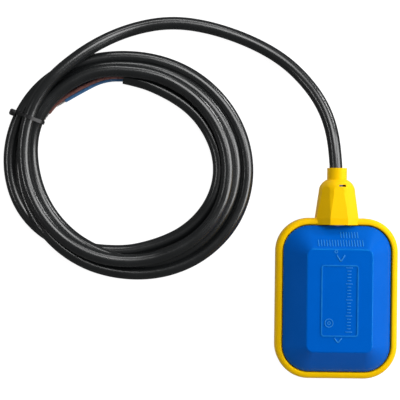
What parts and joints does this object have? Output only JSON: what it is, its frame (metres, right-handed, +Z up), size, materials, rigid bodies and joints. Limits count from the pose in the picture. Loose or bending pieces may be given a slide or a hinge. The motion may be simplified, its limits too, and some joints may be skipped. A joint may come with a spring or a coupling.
{
  "type": "cable float switch",
  "caption": "Tethered level switch: a flat sealed float with a rolling ball and snap switch inside, on a cable that is coiled and tied for storage.",
  "frame": {"origin": "bottom centre of the float's own box, on the surface it lies on, without its cable", "axes": "+Y along the float towards the cable, +X across it, +Z up out of the front panel"},
  "size_m": [0.2635, 0.2396, 0.0414],
  "materials": {
    "yellow_plastic": "moulded, satin",
    "blue_plastic": "moulded, satin",
    "grey_plastic": "moulded",
    "white_plastic": "moulded",
    "black_plastic": "moulded",
    "black_rubber": "moulded",
    "resin": "poured",
    "zinc_steel": "zinc plated",
    "bright_steel": "ground and polished",
    "brass": "stamped",
    "contact_metal": "silver faced",
    "spring_bronze": "stamped strip",
    "cable_rubber": "extruded, slightly shiny",
    "tie_nylon": "moulded",
    "brown_insulation": "extruded",
    "blue_insulation": "extruded",
    "black_insulation": "extruded",
    "tinned_copper": "tinned strands"
  },
  "bodies": {
    "float": {"rim_frame": "yellow_plastic", "front_shell": "blue_plastic", "rear_shell": "blue_plastic", "front_seal": "black_rubber", "rear_seal": "black_rubber", "neck_washer": "zinc_steel", "neck_grommet": "black_rubber", "cable_clamp_left": "grey_plastic", "cable_clamp_right": "grey_plastic", "resin_plug": "resin", "neck_plug": "grey_plastic", "spigot_seal": "black_rubber", "switch_case": "grey_plastic", "case_gasket": "black_rubber", "case_lid": "grey_plastic", "case_screws": "zinc_steel", "rocker_pin": "bright_steel", "snap_switch_body": "black_plastic", "snap_switch_cover": "black_plastic", "terminal_common": "brass", "terminal_open": "brass", "terminal_closed": "brass", "fixed_contacts": "contact_metal", "snap_blade": "spring_bronze", "moving_contact": "contact_metal", "inner_core_brown": "brown_insulation", "inner_core_black": "black_insulation", "inner_core_blue": "blue_insulation", "cable_lead": "cable_rubber", "cable_coil": "cable_rubber", "cable_tie": "tie_nylon", "core_brown": "brown_insulation", "core_blue": "blue_insulation", "core_black": "black_insulation", "tinned_ends": "tinned_copper"},
    "ball": {"tilt_ball": "bright_steel"},
    "rocker": {"rocker": "white_plastic"},
    "plunger": {"plunger": "white_plastic"}
  },
  "joints": [
    {"name": "ball_roll", "type": "slide", "parent": "float", "child": "ball", "axis": [0, 1, 0], "range_m": [0, 0.012]},
    {"name": "rocker_swing", "type": "hinge", "parent": "float", "child": "rocker", "pos_m": [0, -0.0139, 0.0282], "axis": [-1, 0, 0], "range_deg": [0, 9.17]},
    {"name": "plunger_press", "type": "slide", "parent": "float", "child": "plunger", "axis": [0, 0, -1], "range_m": [0, 0.000924]}
  ],
  "couplings": [
    {"joint": "rocker_swing", "follows": "ball_roll", "rad_per_m": 13.333},
    {"joint": "plunger_press", "follows": "ball_roll", "ratio": 0.07699}
  ]
}
